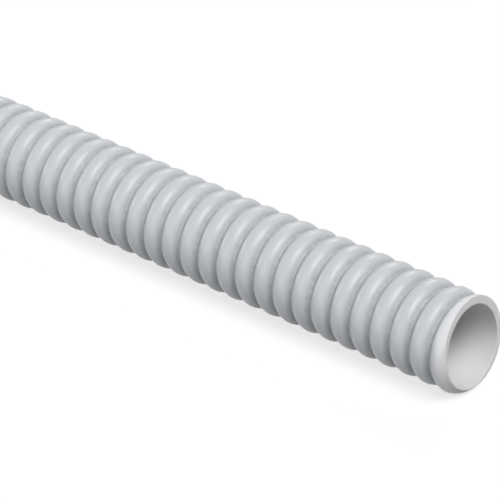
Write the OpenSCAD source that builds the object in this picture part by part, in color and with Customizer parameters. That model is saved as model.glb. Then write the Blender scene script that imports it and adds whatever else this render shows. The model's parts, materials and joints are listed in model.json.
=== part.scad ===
// Corrugated conduit with a smooth bore, lying along X on a level floor.
// The origin is on the floor, halfway along the piece and below its axis.

/* [Conduit] */
// Length of the cut piece along its axis
length = 1000; // [200:5:3000]
// Diameter of the smooth bore
bore_d = 32; // [16:0.5:50]
// Wall left at the bottom of a groove
groove_wall = 0.6; // [0.4:0.05:2]

/* [Corrugation] */
// Height of a rib above the bottom of its groove
rib_height = 2.6; // [1:0.1:4]
// Distance from one rib to the next
rib_pitch = 9.5; // [7:0.1:14]
// Radius of the rounded bottom of a groove
groove_round_r = 1.2; // [0.3:0.1:1.8]

/* [Near cut] */
// Distance along the axis from the near cut to the middle of the first groove
first_groove = 7.3; // [1:0.1:9]
// Angle that the near cut is out of square
cut_slant = 7; // [0:0.5:15]
// Turn of the conduit about its axis, which carries the short side of the slant away from the top
cut_turn = 30; // [0:1:359]

/* [Hidden] */

$fn = 96;
groove_r = bore_d / 2 + groove_wall;
crest_r = groove_r + rib_height;

// The arc of a rib and the arc of a groove meet smoothly, so the distance
// between their centres is the sum of their radii
arc_sum = (rib_pitch * rib_pitch / 4 + rib_height * rib_height) / (2 * rib_height);
rib_round_r = arc_sum - groove_round_r;
// Radius of the conduit where the two arcs meet
meet_r = groove_r + groove_round_r * rib_height / arc_sum;
// How far the slant can carry the near cut past its place on the axis
cut_reach = crest_r * tan(cut_slant);
// Numbers of the first and the last groove, which lie past both cuts
first_rib = -ceil((cut_reach + first_groove) / rib_pitch);
last_rib = ceil(length / rib_pitch) + 1;

// Half section of the wall: x is the radius, and y runs along the conduit from its near cut.
// It reaches past the near cut, which is sawn afterwards.
module wall_section() {
    intersection() {
        translate([bore_d / 2, -cut_reach]) square([crest_r, length + cut_reach]);
        corrugated_section();
    }
}

// Half section of the corrugations, which run past both ends
module corrugated_section() {
    difference() {
        translate([0, first_groove + (first_rib - 0.5) * rib_pitch])
            square([meet_r, (last_rib - first_rib) * rib_pitch]);
        for (i = [first_rib : last_rib])
            translate([groove_r + groove_round_r, first_groove + i * rib_pitch]) circle(groove_round_r);
    }
    for (i = [first_rib : last_rib])
        translate([crest_r - rib_round_r, first_groove + (i - 0.5) * rib_pitch]) circle(rib_round_r);
}

// What the saw takes off, from the slanted near cut outwards
module offcut() {
    rotate([0, -cut_slant, 0])
        translate([0, -2 * crest_r, -2 * crest_r]) cube(4 * crest_r);
}

// The whole conduit, one extruded and moulded piece
module conduit() {
    color("gainsboro")
        translate([length / 2, 0, crest_r]) rotate([-cut_turn, 0, 0])
            difference() {
                rotate([0, -90, 0]) rotate_extrude() wall_section();
                offcut();
            }
}

conduit();
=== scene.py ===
# %% [markdown]
# # A cut length of corrugated conduit
#
# Electricians draw cables through this light grey tube. Its rounded ribs let it bend while they keep it
# round, and its bore is smooth, so that a cable slides. All of it is one piece of PVC, so there is one
# piece here too. The imported solid gives its place and size. A finer surface of the same size stands for it,
# with the finishes that moulding, sawing and handling leave: satin ribs, grooves dark with dust and painted
# shade, a drawn bore and a matt cut. The bore and the ends of the ribs by the cut also carry painted light
# and shade.

# %% Load the frame
import json
import math

import bpy
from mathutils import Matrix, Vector


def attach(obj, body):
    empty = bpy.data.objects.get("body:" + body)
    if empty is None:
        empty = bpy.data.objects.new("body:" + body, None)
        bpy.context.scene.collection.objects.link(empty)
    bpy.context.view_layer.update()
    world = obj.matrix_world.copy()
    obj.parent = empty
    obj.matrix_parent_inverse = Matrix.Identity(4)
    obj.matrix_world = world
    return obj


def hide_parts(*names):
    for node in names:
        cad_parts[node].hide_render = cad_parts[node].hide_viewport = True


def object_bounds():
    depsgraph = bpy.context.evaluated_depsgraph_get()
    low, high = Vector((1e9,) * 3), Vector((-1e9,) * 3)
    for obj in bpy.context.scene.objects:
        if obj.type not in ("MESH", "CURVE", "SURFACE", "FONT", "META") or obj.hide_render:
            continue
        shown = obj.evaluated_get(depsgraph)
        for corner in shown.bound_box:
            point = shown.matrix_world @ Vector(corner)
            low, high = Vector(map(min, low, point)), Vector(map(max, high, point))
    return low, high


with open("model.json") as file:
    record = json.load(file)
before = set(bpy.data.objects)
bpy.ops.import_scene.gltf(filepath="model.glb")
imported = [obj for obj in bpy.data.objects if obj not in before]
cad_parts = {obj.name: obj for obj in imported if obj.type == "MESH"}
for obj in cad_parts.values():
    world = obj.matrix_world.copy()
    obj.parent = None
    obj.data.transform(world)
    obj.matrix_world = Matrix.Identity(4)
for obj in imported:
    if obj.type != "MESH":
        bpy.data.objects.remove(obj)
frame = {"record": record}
cad_low, cad_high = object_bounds()
print("CAD box in metres:", list(cad_low), list(cad_high))

# %% [markdown]
# ## Sizes
#
# What the solid can tell is measured on it: the outside of the ribs and the height of the axis. The bore
# and the place of the near cut on the axis are in the record, because fittings and cables go by them. Only
# the shape of one rib and the slant of that cut are written down here, and they repeat what the solid has,
# in metres.

# %% Measure the solid
MM = 0.001
near_mouth = next(mount for mount in frame["record"]["mounts"] if mount["name"] == "near_mouth")
mouth_x = near_mouth["pos_m"][0]
bore_radius = near_mouth["dims"]["r_mm"] * MM
length = mouth_x - cad_low.x
crest_radius = cad_high.z / 2
axis_height = crest_radius
print(f"length {length:.3f} m, outside {2 * crest_radius / MM:.1f} mm, bore {2 * bore_radius / MM:.1f} mm")

# %% The shape of one rib and of the near cut
rib_pitch = 9.5 * MM
rib_height = 2.6 * MM
groove_round = 1.2 * MM
groove_radius = crest_radius - rib_height
first_groove = 7.3 * MM
cut_slant = 7
cut_slope = math.tan(math.radians(cut_slant))
cut_turn = math.radians(30)
print(f"ribs {rib_height / MM:.1f} mm high every {rib_pitch / MM:.1f} mm, cut {cut_slant} degrees askew")

# %% [markdown]
# ## Camera
#
# The camera stands in front of the near mouth, to its left and above it, and looks along the conduit from
# afar through a long lens. It aims at a point on the axis a little behind the mouth, so that the mouth lies
# at the right of the frame and the far end runs out of it at the left.

# %% Place the camera
view_azimuth = math.radians(41.3)
view_elevation = math.radians(29.0)
view_distance = 1.243
aim = Vector((mouth_x - 0.1087, 0, axis_height + 0.0007))
towards_camera = Vector(
    (
        math.sin(view_azimuth) * math.cos(view_elevation),
        -math.cos(view_azimuth) * math.cos(view_elevation),
        math.sin(view_elevation),
    )
)
camera_data = bpy.data.cameras.new("camera")
camera_data.lens = 231.6
camera_data.sensor_width = 36
camera_data.clip_end = 50
camera = bpy.data.objects.new("camera", camera_data)
camera.location = aim + view_distance * towards_camera
camera.rotation_euler = towards_camera.to_track_quat("Z", "Y").to_euler()
bpy.context.scene.collection.objects.link(camera)
bpy.context.scene.camera = camera
print("camera at", [round(value, 3) for value in camera.location])

# %% [markdown]
# ## Nodes as Python expressions
#
# Both the shape and the finish are worked out by nodes. A `Signal` is one output of a node, and Python's
# own operators on it add Math nodes, so that a formula in the script reads like one on paper. Every other
# node comes from `add_node`, which takes its type, its settings and what goes into its sockets.

# %% The Signal class
class Signal:
    """One output socket of a node tree. Arithmetic on it adds Math nodes."""

    def __init__(self, tree, socket):
        self.tree = tree
        self.socket = socket

    def math(self, operation, *others):
        inputs = dict(enumerate((self, *others)))
        return add_node(self.tree, "ShaderNodeMath", {"operation": operation}, inputs)

    def output(self, key):
        return Signal(self.tree, self.socket.node.outputs[key])

    def __add__(self, other):
        return self.math("ADD", other)

    __radd__ = __add__

    def __sub__(self, other):
        return self.math("SUBTRACT", other)

    def __rsub__(self, other):
        return self.math("MULTIPLY_ADD", -1, other)

    def __mul__(self, other):
        return self.math("MULTIPLY", other)

    __rmul__ = __mul__

    def __truediv__(self, other):
        return self.math("DIVIDE", other)

    def __lt__(self, other):
        return self.math("LESS_THAN", other)

    def __gt__(self, other):
        return self.math("GREATER_THAN", other)


def add_node(tree, kind, settings=None, inputs=None):
    """Adds a node, sets it up, fills or links its sockets, and returns its first output."""
    node = tree.nodes.new(kind)
    for name, value in (settings or {}).items():
        setattr(node, name, value)
    for key, value in (inputs or {}).items():
        if isinstance(value, Signal):
            tree.links.new(value.socket, node.inputs[key])
        else:
            node.inputs[key].default_value = value
    return Signal(tree, node.outputs[0]) if node.outputs else None


# %% [markdown]
# ## The corrugated wall
#
# A conduit is a body of revolution, so one row of points describes it: along the outside from the near
# mouth to the far one, and back through the bore. Each outer point is moved out to the radius that the
# rib's outline has there, and the row is swept round the axis. The outline is two arcs that meet smoothly,
# a wide one over the rib and a tight one in the groove. One modelled rib repeated by an Array modifier
# would be quicker to set up, but a saw cuts a conduit anywhere along a rib, and here it went through at a
# slant. The formula gives the cut edge its true place and radius all the way round. The points stand closer
# in the grooves, where the outline bends most.

# %% Inputs of the wall's node tree
wall_sizes = {
    "Length": length,
    "Bore Radius": bore_radius,
    "Groove Radius": groove_radius,
    "Rib Height": rib_height,
    "Rib Pitch": rib_pitch,
    "Groove Round": groove_round,
    "First Groove": first_groove,
    "Cut Slope": cut_slope,
    "Cut Turn": cut_turn,
    "Axis Height": axis_height,
    "Sides": 64,
    "Steps per Rib": 13,
    "Bore Steps": 24,
}
wall_tree = bpy.data.node_groups.new("corrugated_wall", "GeometryNodeTree")
for name, value in wall_sizes.items():
    kind = "NodeSocketInt" if isinstance(value, int) else "NodeSocketFloat"
    wall_tree.interface.new_socket(name=name, in_out="INPUT", socket_type=kind)
wall_tree.interface.new_socket(name="Material", in_out="INPUT", socket_type="NodeSocketMaterial")
wall_tree.interface.new_socket(name="Wall", in_out="OUTPUT", socket_type="NodeSocketGeometry")
group_input = wall_tree.nodes.new("NodeGroupInput")
wall = {socket.name: Signal(wall_tree, socket) for socket in group_input.outputs if socket.name}
print("the wall's inputs:", ", ".join(wall))

# %% Where the two arcs of the outline meet
mouth = wall["Length"] / 2
groove_x = mouth - wall["First Groove"]
half_pitch = wall["Rib Pitch"] / 2
arc_sum = (half_pitch * half_pitch + wall["Rib Height"] * wall["Rib Height"]) / (2 * wall["Rib Height"])
rib_round = arc_sum - wall["Groove Round"]
meet_offset = half_pitch * wall["Groove Round"] / arc_sum


# %% The radius of the outside
def circle_height(radius, offset):
    """How far a circle of that radius stands from its centre line, at an offset along the line."""
    return (radius * radius - offset * offset).math("MAXIMUM", 0).math("SQRT")


def rib_radius(x):
    """Radius of the outside at x, on the groove's arc near a groove and on the rib's arc elsewhere."""
    from_groove = (x - groove_x).math("PINGPONG", half_pitch)
    groove_arc = wall["Groove Radius"] + wall["Groove Round"]
    groove_arc = groove_arc - circle_height(wall["Groove Round"], from_groove)
    rib_arc = wall["Groove Radius"] + wall["Rib Height"] - rib_round
    rib_arc = rib_arc + circle_height(rib_round, half_pitch - from_groove)
    in_groove = from_groove < meet_offset
    return in_groove * groove_arc + (1 - in_groove) * rib_arc


# %% Each point's place in the row and round the axis
index = add_node(wall_tree, "GeometryNodeInputIndex")
outer_steps = ((wall["Length"] / wall["Rib Pitch"] + 3) * wall["Steps per Rib"]).math("CEIL")
section_steps = outer_steps + wall["Bore Steps"]
station = ((index + 0.5) / (wall["Sides"] + 1)).math("FLOOR")
side = index - station * (wall["Sides"] + 1)
ring = station.math("MODULO", section_steps)
turn = side * (2 * math.pi) / wall["Sides"]

# %% Where the slanted saw cut meets the outside and the bore
fall_back = wall["Cut Slope"] * (turn + wall["Cut Turn"]).math("COSINE")
bore_cut_x = mouth - fall_back * wall["Bore Radius"]
# The cut's place depends on the rib's radius there, and three rounds bring the two together.
outer_cut_x = mouth
for _ in range(3):
    outer_cut_x = mouth - fall_back * rib_radius(outer_cut_x)

# %% The row along the outside, which ends at the cuts, and the row through the bore
CROWDING = 0.5
EDGE_GAP = 0.35 * MM
even_x = groove_x + wall["Rib Pitch"] * (2 - ring / wall["Steps per Rib"])
wave = ((even_x - groove_x) * (2 * math.pi) / wall["Rib Pitch"]).math("SINE")
crowded_x = even_x - wall["Rib Pitch"] * (CROWDING / (2 * math.pi)) * wave
past_near_cut = crowded_x > outer_cut_x - EDGE_GAP
past_far_cut = crowded_x < EDGE_GAP - mouth
outer_x = crowded_x + past_near_cut * (outer_cut_x - crowded_x) + past_far_cut * (-1 * mouth - crowded_x)
bore_x = (bore_cut_x + mouth) * (ring - outer_steps) / (wall["Bore Steps"] - 1) - mouth

# %% The two walls swept round the axis
on_outside = ring < outer_steps
point_x = on_outside * outer_x + (1 - on_outside) * bore_x
point_radius = on_outside * rib_radius(outer_x) + (1 - on_outside) * wall["Bore Radius"]
swept = add_node(
    wall_tree,
    "ShaderNodeCombineXYZ",
    inputs={
        "X": point_x,
        "Y": -1 * point_radius * turn.math("SINE"),
        "Z": wall["Axis Height"] + point_radius * turn.math("COSINE"),
    },
)
grid = add_node(
    wall_tree,
    "GeometryNodeMeshGrid",
    inputs={"Vertices X": section_steps + 1, "Vertices Y": wall["Sides"] + 1},
)
tube = add_node(wall_tree, "GeometryNodeSetPosition", inputs={"Geometry": grid, "Position": swept})
merge_gap = 0.002 * MM
closed = add_node(
    wall_tree, "GeometryNodeMergeByDistance", inputs={"Geometry": tube, "Distance": merge_gap}
)
smooth = add_node(wall_tree, "GeometryNodeSetShadeSmooth", inputs={"Geometry": closed})
real = add_node(wall_tree, "GeometryNodeRealizeInstances", inputs={"Geometry": smooth})
finished = add_node(
    wall_tree,
    "GeometryNodeSetMaterial",
    inputs={"Geometry": real, "Material": wall["Material"]},
)
group_output = wall_tree.nodes.new("NodeGroupOutput")
wall_tree.links.new(finished.socket, group_output.inputs["Wall"])
print("the wall's tree has", len(wall_tree.nodes), "nodes")

# %% [markdown]
# ## The grey PVC
#
# Light grey PVC comes out of its mould satin, not glossy, with a faint ripple like orange peel. Handling
# rubs the tops of the ribs. The grooves are darker, partly with dust that handling leaves and partly as
# painted shade. The bore shows faint lines along it, drawn by the die; its colour is painted light and
# shade, pale near its mouths and darker deeper in. The saw leaves the cut matt, its pale colour is partly
# its own and partly painted light, and the last few millimetres of the ribs are painted paler as painted
# light. One material holds all of it: masks worked out from the distance to the axis and to the cuts say
# which finish is where. It reads Object coordinates, so the pattern stays with the piece.

# %% Masks from the place on the conduit
grey_pvc = bpy.data.materials.new("grey_pvc")
grey_pvc.use_nodes = True
pvc_tree = grey_pvc.node_tree
pvc_tree.nodes.clear()
coordinates = add_node(pvc_tree, "ShaderNodeTexCoord").output("Object")


def placed(scale, location=(0, 0, 0)):
    """The point on the piece, stretched and shifted for a pattern."""
    inputs = {"Vector": coordinates, "Scale": scale, "Location": location}
    return add_node(pvc_tree, "ShaderNodeMapping", inputs=inputs)


def fade(value, start, end):
    """A smooth mask that is 0 at start and 1 at end."""
    inputs = {"Value": value, "From Min": start, "From Max": end}
    return add_node(pvc_tree, "ShaderNodeMapRange", {"interpolation_type": "SMOOTHSTEP"}, inputs)


def noise(scale, detail=2.0, stretch=(1, 1, 1)):
    """Noise between 0 and 1, with so many bumps to the metre along each axis."""
    inputs = {"Vector": placed(stretch), "Scale": scale, "Detail": detail, "Roughness": 0.5}
    return add_node(pvc_tree, "ShaderNodeTexNoise", inputs=inputs)


centred = placed((1, 1, 1), (0, 0, -axis_height))
from_axis = add_node(pvc_tree, "ShaderNodeSeparateXYZ", inputs={"Vector": centred})
along, across, up = (from_axis.output(axis) for axis in "XYZ")
radius = (across * across + up * up).math("SQRT")
past_near_cut = along - mouth_x + cut_slope * (math.sin(cut_turn) * across + math.cos(cut_turn) * up)
past_far_cut = -1 * along - mouth_x
past_cuts = past_near_cut.math("MAXIMUM", past_far_cut)
cut_skin = 0.03 * MM
bore_skin = 0.25 * MM
on_cut = past_cuts > -cut_skin
in_bore = (1 - on_cut) * (radius < bore_radius + bore_skin)
on_ribs = (1 - in_bore) * (1 - on_cut)
groove_mask = on_ribs * fade(radius, groove_radius + 0.8 * rib_height, groove_radius)
crest_mask = on_ribs * fade(radius, crest_radius - 0.15 * rib_height, crest_radius)
depth = -1 * past_cuts
near_cut_mask = on_ribs * fade(depth, 6 * MM, 2 * MM)
# Mask for painted shade: it darkens the bore the deeper it lies from the cuts.
bore_shade_mask = fade(depth, 2 * MM, 22 * MM)
print("masks: cut, bore, ribs, grooves, crests, last millimetres, depth in the bore")

# %% Colour of the PVC
def mixed(factor, first, second):
    """A colour on the way from the first to the second."""
    mix = add_node(pvc_tree, "ShaderNodeMix", {"data_type": "RGBA"}, {0: factor, 6: first, 7: second})
    return mix.output(2)


pale_grey = (0.630, 0.652, 0.682, 1)
deep_grey = (0.590, 0.613, 0.645, 1)
# The groove grey is partly dust and partly painted shade in the recesses between the ribs.
dust_and_shade_grey = (0.385, 0.395, 0.405, 1)
# The bore colours are painted light and shade: pale near the mouths, where light enters, darker deeper in.
lit_bore_grey = (0.880, 0.888, 0.895, 1)
shaded_bore_grey = (0.760, 0.770, 0.780, 1)
rubbed_grey = (0.690, 0.705, 0.725, 1)
# The sawn grey is partly the matt cut's own pale colour and partly painted light on the cut and last ribs.
sawn_and_lit_grey = (0.930, 0.935, 0.940, 1)

# %% Wear, dirt and painted light and shade over the PVC
clouds = noise(9, 3)
mottle = noise(260, 3)
# The grooves are darkened partly by dust and partly as painted shade where the ribs shade them.
dust_and_groove_shade = groove_mask * (0.6 + 0.4 * fade(noise(420, 4), 0.25, 0.75))
# Painted light: the last few millimetres of the ribs by the cut are painted paler.
painted_light_near_cut = 0.6 * near_cut_mask
scratches = fade(noise(700, 3, (0.25, 1, 1)), 0.62, 0.78)
rubbed = crest_mask * scratches
body_colour = mixed(0.6 * clouds + 0.4 * mottle, deep_grey, pale_grey)
body_colour = mixed(dust_and_groove_shade, body_colour, dust_and_shade_grey)
body_colour = mixed(0.5 * rubbed, body_colour, rubbed_grey)
body_colour = mixed(painted_light_near_cut, body_colour, sawn_and_lit_grey)
# The bore is painted pale near its mouths and darker deeper in: painted light and shade.
bore_colour = mixed(bore_shade_mask, lit_bore_grey, shaded_bore_grey)
body_colour = mixed(in_bore, body_colour, bore_colour)
# The cut gets the pale sawn colour, partly its own and partly painted light.
pvc_colour = mixed(on_cut * (0.8 + 0.2 * mottle), body_colour, sawn_and_lit_grey)

# %% Gloss and relief of the PVC
body_roughness = 0.34 + 0.10 * mottle + 0.22 * dust_and_groove_shade + 0.12 * rubbed
pvc_roughness = body_roughness + on_cut * 0.22 - in_bore * 0.04
orange_peel = noise(1100, 2)
die_lines = noise(1, 2, (4, 900, 900))
saw_marks = noise(1, 2, (1, 350, 3500))
relief = on_ribs * orange_peel * 0.012 + in_bore * die_lines * 0.018 + on_cut * saw_marks * 0.06
bumped = add_node(pvc_tree, "ShaderNodeBump", inputs={"Height": relief, "Distance": MM, "Strength": 1.0})

# %% The finished material
surface = add_node(
    pvc_tree,
    "ShaderNodeBsdfPrincipled",
    inputs={"Base Color": pvc_colour, "Roughness": pvc_roughness, "Normal": bumped, "IOR": 1.53},
)
add_node(pvc_tree, "ShaderNodeOutputMaterial", inputs={"Surface": surface})
print("the PVC has", len(pvc_tree.nodes), "nodes")

# %% [markdown]
# ## The conduit
#
# The tree only runs on an object, so it gets an empty mesh to run on. Its sizes go in by the identifiers of
# its sockets. A narrow bevel then breaks the two sawn edges at each end, as a deburring knife does, and
# weighted normals keep the flat cut flat. The result is kept as a plain mesh, which is what an export
# needs.

# %% Run the tree
def modifier_inputs(modifier, values):
    """Sets a Geometry Nodes modifier's inputs, which are known by their identifiers."""
    for item in modifier.node_group.interface.items_tree:
        if item.in_out == "INPUT":
            modifier[item.identifier] = values[item.name]


carrier = bpy.data.objects.new("carrier", bpy.data.meshes.new("carrier"))
bpy.context.scene.collection.objects.link(carrier)
nodes_modifier = carrier.modifiers.new("wall", "NODES")
nodes_modifier.node_group = wall_tree
modifier_inputs(nodes_modifier, {**wall_sizes, "Material": grey_pvc})
bevel = carrier.modifiers.new("deburr", "BEVEL")
bevel.width = 0.15 * MM
bevel.segments = 2
bevel.limit_method = "ANGLE"
bevel.angle_limit = math.radians(45)
carrier.modifiers.new("normals", "WEIGHTED_NORMAL").keep_sharp = False

# %% Keep the result
evaluated = carrier.evaluated_get(bpy.context.evaluated_depsgraph_get())
conduit_mesh = bpy.data.meshes.new_from_object(evaluated)
bpy.data.objects.remove(carrier)
conduit_mesh.name = "corrugated_conduit"
conduit = bpy.data.objects.new("corrugated_conduit", conduit_mesh)
bpy.context.scene.collection.objects.link(conduit)
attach(conduit, "root")
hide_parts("conduit")
conduit_mesh.calc_loop_triangles()
print("the conduit has", len(conduit_mesh.loop_triangles), "triangles")

# %% [markdown]
# ## Floor and light
#
# The conduit lies on a white floor that runs out to a white background. For the camera and for reflections
# the floor adds light of its own to what falls on it, so it is white and keeps a soft shadow. For light
# that bounces it is a dark floor, because a white one would lift the shade under the ribs.
#
# Large soft lamps do the lighting, as in a product studio, because light from all sides would flatten the
# ribs and fill the bore. The key stands at the right and the top lamp shines steeply past the mouth, which
# leaves the roof of the bore dark. The front lamp opens the shade of the ribs, the rim lamp draws a
# highlight along their left flanks, and the back lamp keeps the far side readable.

# %% Floor
floor_colour = bpy.data.materials.new("floor")
floor_colour.use_nodes = True
floor_tree = floor_colour.node_tree
floor_tree.nodes.clear()
seen = add_node(floor_tree, "ShaderNodeLightPath")
to_eye = seen.output("Is Camera Ray") + seen.output("Is Glossy Ray") + seen.output("Is Transmission Ray")
lit = add_node(floor_tree, "ShaderNodeBsdfDiffuse", inputs={"Color": (0.35, 0.35, 0.35, 1)})
glow = add_node(floor_tree, "ShaderNodeEmission", inputs={"Color": (1, 1, 1, 1), "Strength": 0.72})
white = add_node(floor_tree, "ShaderNodeAddShader", inputs={0: lit, 1: glow})
dull = add_node(floor_tree, "ShaderNodeBsdfDiffuse", inputs={"Color": (0.2, 0.2, 0.2, 1)})
for_the_eye = to_eye.math("MINIMUM", 1)
either = add_node(floor_tree, "ShaderNodeMixShader", inputs={0: for_the_eye, 1: dull, 2: white})
add_node(floor_tree, "ShaderNodeOutputMaterial", inputs={"Surface": either})

floor_half = 6.0
floor_mesh = bpy.data.meshes.new("floor")
corners = [(x * floor_half, y * floor_half, 0) for x, y in ((-1, -1), (1, -1), (1, 1), (-1, 1))]
floor_mesh.from_pydata(corners, [], [(0, 1, 2, 3)])
floor_mesh.materials.append(floor_colour)
floor = bpy.data.objects.new("floor", floor_mesh)
bpy.context.scene.collection.objects.link(floor)
print("the floor is", 2 * floor_half, "m wide")

# %% World
world = bpy.data.worlds.new("studio")
world.use_nodes = True
world_tree = world.node_tree
world_tree.nodes.clear()
path = add_node(world_tree, "ShaderNodeLightPath")
to_eye = path.output("Is Camera Ray") + path.output("Is Glossy Ray") + path.output("Is Transmission Ray")
world_light = 0.02
strength = world_light + (1 - world_light) * to_eye.math("MINIMUM", 1)
backdrop_look = {"Color": (1, 1, 1, 1), "Strength": strength}
backdrop = add_node(world_tree, "ShaderNodeBackground", inputs=backdrop_look)
add_node(world_tree, "ShaderNodeOutputWorld", inputs={"Surface": backdrop})
bpy.context.scene.world = world
print("the world's strength is 1 to the eye and", world_light, "as light")


# %% Lamps
def add_sun(name, azimuth, elevation, energy, angle):
    """A soft, distant lamp that shines from that azimuth, counted as the camera's is, and elevation."""
    a, e = math.radians(azimuth), math.radians(elevation)
    lamp = bpy.data.lights.new(name, "SUN")
    lamp.energy = energy
    lamp.angle = math.radians(angle)
    sun = bpy.data.objects.new(name, lamp)
    source = Vector((math.sin(a) * math.cos(e), -math.cos(a) * math.cos(e), math.sin(e)))
    sun.rotation_euler = source.to_track_quat("Z", "Y").to_euler()
    bpy.context.scene.collection.objects.link(sun)
    return sun


# %% Place the lamps
add_sun("key", 58, 50, 1.3, 25)
add_sun("top", 85, 62, 1.2, 25)
add_sun("front", -5, 8, 1.0, 25)
add_sun("rim", -70, 5, 0.8, 25)
add_sun("back", 205, 35, 0.7, 25)
print("lamps:", ", ".join(lamp.name for lamp in bpy.data.lights))

bpy.context.scene.view_settings.view_transform = "Standard"
